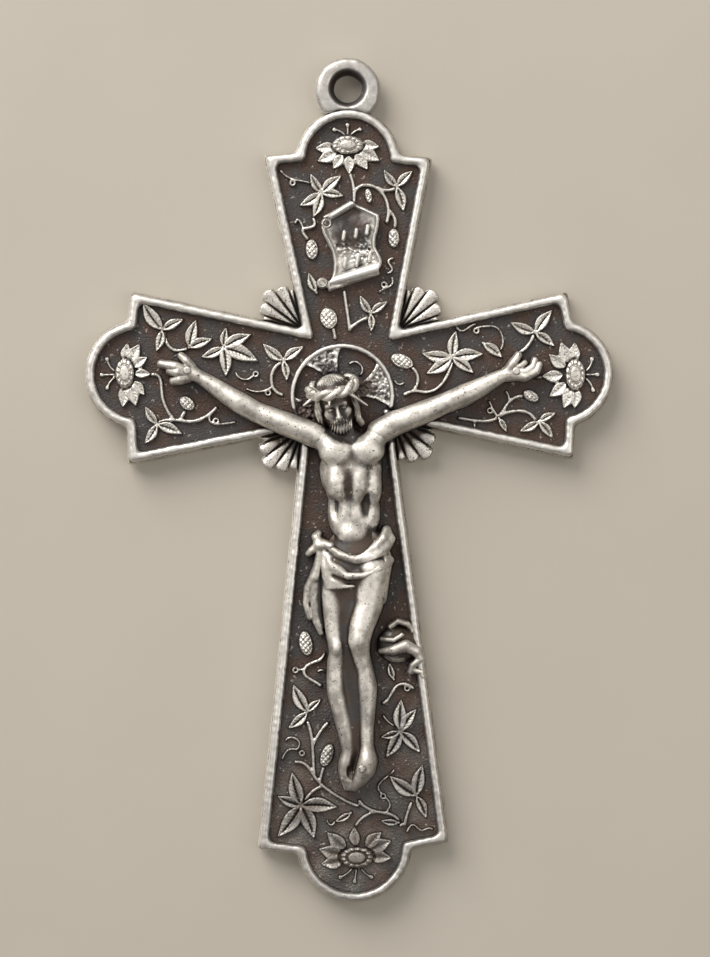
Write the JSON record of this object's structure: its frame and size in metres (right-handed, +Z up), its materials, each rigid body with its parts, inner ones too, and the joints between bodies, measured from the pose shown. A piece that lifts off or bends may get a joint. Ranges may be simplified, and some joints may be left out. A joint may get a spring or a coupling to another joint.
{
  "type": "pendant crucifix",
  "caption": "Cast oxidised silver pendant crucifix with fixed bail, rounded border, passion-flower vines in relief, nimbus, scroll and corpus; hangs from a jump ring.",
  "frame": {"origin": "middle of the bail's hole, on its axis, halfway through the bail's thickness", "axes": "+Z up along the cross, +X to the viewer's right, -Y towards the viewer, so the flat back faces +Y"},
  "size_m": [0.0479, 0.0052, 0.0762],
  "materials": {
    "oxidised_silver": "dark oxidised granular silver",
    "polished_silver": "worn polished silver",
    "relief_silver": "rubbed silver relief, dark in the recesses",
    "corpus_silver": "polished silver with oxide in the folds"
  },
  "bodies": {
    "root": {"bail_ring": "polished_silver", "border_rim": "polished_silver", "corpus_arm_left": "corpus_silver", "corpus_arm_right": "corpus_silver", "corpus_figure": "corpus_silver", "corpus_head": "corpus_silver", "crown_of_thorns": "corpus_silver", "drapery_tail": "corpus_silver", "ground_plate": "oxidised_silver", "halo": "polished_silver", "leaf_base_curl": "relief_silver", "leaf_base_inner": "relief_silver", "leaf_base_left": "relief_silver", "leaf_base_right": "relief_silver", "leaf_left_inner": "relief_silver", "leaf_left_lower": "relief_silver", "leaf_left_middle": "relief_silver", "leaf_left_small": "relief_silver", "leaf_left_upper": "relief_silver", "leaf_neck": "relief_silver", "leaf_right_lower": "relief_silver", "leaf_right_middle": "relief_silver", "leaf_right_small": "relief_silver", "leaf_right_twig": "relief_silver", "leaf_right_upper": "relief_silver", "leaf_scroll": "relief_silver", "leaf_shaft_left": "relief_silver", "leaf_shaft_right": "relief_silver", "leaf_shaft_twig": "relief_silver", "leaf_top_left": "relief_silver", "leaf_top_right": "relief_silver", "loincloth": "corpus_silver", "loincloth_knot": "corpus_silver", "nail_feet": "corpus_silver", "nail_left_hand": "corpus_silver", "nail_right_hand": "corpus_silver", "passion_flower_bottom": "relief_silver", "passion_flower_left": "relief_silver", "passion_flower_right": "relief_silver", "passion_flower_top": "relief_silver", "ray_fan_lower_left": "relief_silver", "ray_fan_lower_right": "relief_silver", "ray_fan_upper_left": "relief_silver", "ray_fan_upper_right": "relief_silver", "titulus_scroll": "polished_silver", "titulus_strokes": "polished_silver", "vine_buds_left": "relief_silver", "vine_buds_right": "relief_silver", "vine_buds_shaft": "relief_silver", "vine_buds_top": "relief_silver", "vine_stems_left": "relief_silver", "vine_stems_right": "relief_silver", "vine_stems_shaft": "relief_silver", "vine_stems_top": "relief_silver"}
  },
  "joints": []
}
